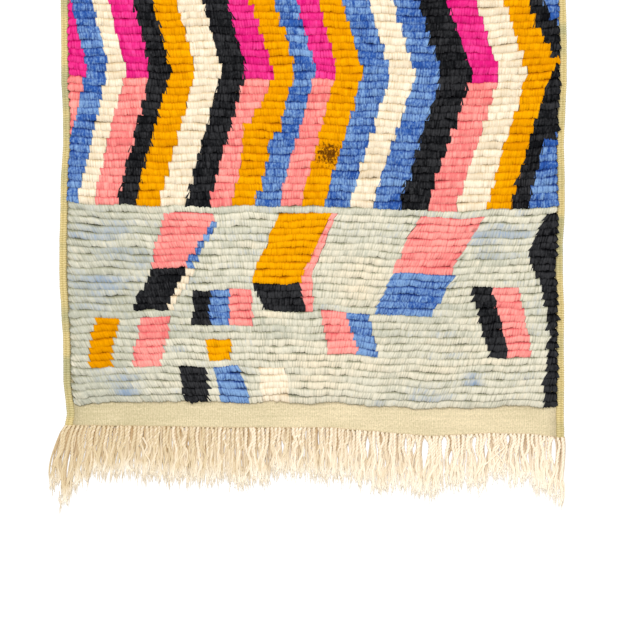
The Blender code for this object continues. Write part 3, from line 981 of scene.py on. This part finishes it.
girth = np.interp(share, [0, 0.03, 0.10, 0.7, 0.92, 1.0], [1.6, 2.2, 2.1, 1.9, 1.3, 0.6]) * MM
girth = np.tile(stout, 2)[:, None] * girth
cords = tubes("fringe_cords", np.concatenate(plies), girth, CORD_SIDES, turn=pi / 2)
finish_yarn(cords, cream_yarn, CORD_SIDES, share, np.concatenate(dips))
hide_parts("fringe")

# A mat of finer yarns lies under and between the cords, closer on the left than on the right: how far
# beside its cord each layer of them starts, in cords, and how far down it reaches
MAT_LAYERS = [(0.5, 0.93), (0.17, 0.98), (-0.17, 0.90), (0.5, 1.02), (-0.3, 0.96)]
share = np.linspace(0, 1, 10)
thin = []
for shift, reach in MAT_LAYERS:
    keep = dice.random(strands) < np.interp(roots, [-0.05, 0.20], [1.0, 0.72])
    x, y = cord_paths(share * reach, easy_leans, dice.normal(0, 1.2 * MM, (strands, 3)), shift)
    z = dice.uniform(1.5, 3.1, (strands, 1)) * MM * (1 - 0.55 * np.clip(share * 5 - 4, 0, 1))
    thin.append(np.stack([x, y, z], -1)[keep])
thin = np.concatenate(thin)
radii = np.interp(share, [0, 0.1, 0.8, 1], [1.0, 1.5, 1.4, 0.4]) * MM
loose = tubes("fringe_loose_yarns", thin, np.tile(radii, (len(thin), 1)), 4, turn=pi / 2)
# The mat yarns lie under the cords and take painted shade, a random amount for each yarn
finish_yarn(loose, cream_yarn, 4, share, dice.uniform(0.2, 1.1, (len(thin), 1, 1)))

# Frayed fibres fan out from the cords' cut ends, so many from each
WISPS = 16
frayed_yarn = twisted_cotton("frayed_cotton", colour(246, 236, 219), colour(230, 216, 192),
                             colour(230, 215, 189), colour(252, 246, 235), 0.02 * MM)
FINE_STEPS = 40
full_x, full_y = cord_paths(np.linspace(0, 1, FINE_STEPS + 1), easy_leans, np.zeros((strands, 3)))
share = np.linspace(0, 1, 5)
wisps = []
for _ in range(WISPS):
    at = np.round(dice.uniform(0.62, 0.96, strands) * FINE_STEPS).astype(int)
    from_x = full_x[np.arange(strands), at] + dice.normal(0, 1.9 * MM, strands)
    from_y = full_y[np.arange(strands), at]
    span = dice.uniform(10, 24, strands) * MM
    swing = dice.normal(0, 0.14, strands) * span
    curl = dice.normal(0, 1.2 * MM, strands)
    path_x = from_x[:, None] + swing[:, None] * share + curl[:, None] * np.sin(pi * share)
    path_y = from_y[:, None] - span[:, None] * share
    path_z = np.broadcast_to(2.2 * MM - 1.8 * MM * share, path_x.shape)
    wisps.append(np.stack([path_x, path_y, path_z], -1))
wisps = np.concatenate(wisps)
radii = np.interp(share, [0, 0.6, 1], [0.90, 0.75, 0.30]) * MM
frayed = tubes("fringe_frayed_ends", wisps, np.tile(radii, (len(wisps), 1)), 3, turn=pi / 2)
finish_yarn(frayed, frayed_yarn, 3, share, 0.0)

# A few ends have been caught up and lie zigzag over the others: their bends, in millimetres from the
# middle and down from the cloth's edge
STRAYS = [
    [(300, 20), (304, 28), (292, 38), (279, 50), (272, 56)],
    [(296, 24), (288, 36), (296, 44), (288, 56), (285, 68)],
    [(304, 32), (296, 46), (303, 52), (298, 62), (292, 72)],
    [(-270, 12), (-262, 26), (-268, 36), (-258, 50), (-262, 66)],
]
bends = np.array(STRAYS) * MM
bend_shares = np.linspace(0, 1, bends.shape[1])
share = np.linspace(0, 1, 17)
stray_x = np.array([np.interp(share, bend_shares, bend[:, 0]) for bend in bends])
stray_y = NEAR_END - np.array([np.interp(share, bend_shares, bend[:, 1]) for bend in bends])
for line in (stray_x, stray_y):
    line[:, 1:-1] = (line[:, :-2] + 2 * line[:, 1:-1] + line[:, 2:]) / 4
stray_z = np.broadcast_to(5.2 * MM - 1.2 * MM * share, stray_x.shape)
girth = np.broadcast_to(1.7 * MM * (1 - 0.4 * share), stray_x.shape)
strays = tubes("fringe_stray_ends", np.stack([stray_x, stray_y, stray_z], -1), girth, 6)
finish_yarn(strays, cream_yarn, 6, share, 0.2)

# A fine twine winds over and under the cords at the cloth's edge and shows between them; its dark colour is
# painted shade for the shadows between the cords' starts
TWINE_RADIUS, TWINE_SPIRAL, TWINE_HEIGHT = 0.6 * MM, 0.4 * MM, 2.9 * MM
rings = strands * 4 + 1
x = np.linspace(heading[0], heading[1], rings)
y = woven_line(np.full(rings, NEAR_END), x) - 0.6 * MM
spiral = np.arange(rings) * 2 * pi / 8 + np.array([[0], [pi]])
twined = np.stack([np.stack([x, x]), y + TWINE_SPIRAL * np.cos(spiral),
                   TWINE_HEIGHT + TWINE_SPIRAL * np.sin(spiral)], -1)
twining = tubes("fringe_twining", twined, np.full((2, rings), TWINE_RADIUS), 5, reference=(0.0, 1.0, 0.0))
# Painted shade: the twine is coloured dark to stand for the shadows between the cords at the edge
twine_with_painted_shade = twisted_cotton("twine_with_painted_shade", colour(150, 128, 92), colour(132, 114, 82),
                               colour(104, 88, 64), colour(150, 128, 92), 0.2 * MM)
finish_yarn(twining, twine_with_painted_shade, 5, np.zeros(rings), 0.0)

# The studio: a plain near-white floor, one broad soft light from the far end and a softer fill, and a
# long lens straight above the fringed end.
bpy.ops.object.select_all(action="DESELECT")
bpy.ops.mesh.primitive_plane_add(size=12, location=(0, 0, 0))
floor = bpy.context.object
floor.name = "studio_floor"
paper = Finish("white_paper", Roughness=0.9, Emission_Color=(1.0, 1.0, 1.0, 1), Emission_Strength=0.86)
paper_grain = paper.noise(paper.add("TexCoord", output="Object"), 300, 2.0)
paper.wear(paper.mix(paper_grain, (0.19, 0.19, 0.19, 1), (0.21, 0.21, 0.21, 1)), paper_grain, 0.05 * MM)
floor.data.materials.append(paper.material)

world = bpy.data.worlds.new("soft_studio")
bpy.context.scene.world = world
world.use_nodes = True
background = world.node_tree.nodes["Background"]
background.inputs["Color"].default_value = (1.0, 1.0, 1.0, 1)
background.inputs["Strength"].default_value = 0.80

Lamp = namedtuple("Lamp", "name place turn size power")
LAMPS = [
    Lamp("far_softbox", (-0.3, 1.3, 3.0), (-36, -5, 0), 1.8, 95),
    Lamp("near_fill", (0.4, -3.4, 3.0), (42, 0, 5), 2.5, 30),
]
for lamp in LAMPS:
    light = bpy.data.lights.new(lamp.name, "AREA")
    light.size = lamp.size
    light.energy = lamp.power
    made = bpy.data.objects.new(lamp.name, light)
    made.location = lamp.place
    made.rotation_euler = [radians(angle) for angle in lamp.turn]
    bpy.context.scene.collection.objects.link(made)

bpy.context.scene.view_settings.view_transform = "Standard"

# The camera looks at the top of the pile, and one pixel of its 640 is this wide there
PIXEL = 1.581 * MM
VIEW_WIDTH = 640 * PIXEL
VIEW_X, VIEW_Y = 0.0111, -1.0261
PILE_TOP = 12 * MM
LENS, SENSOR = 100.0, 36.0
camera_data = bpy.data.cameras.new("overhead_camera")
camera_data.lens = LENS
camera_data.sensor_width = SENSOR
camera = bpy.data.objects.new("overhead_camera", camera_data)
camera.location = (VIEW_X, VIEW_Y, VIEW_WIDTH * LENS / SENSOR + PILE_TOP)
bpy.context.scene.collection.objects.link(camera)
bpy.context.scene.camera = camera
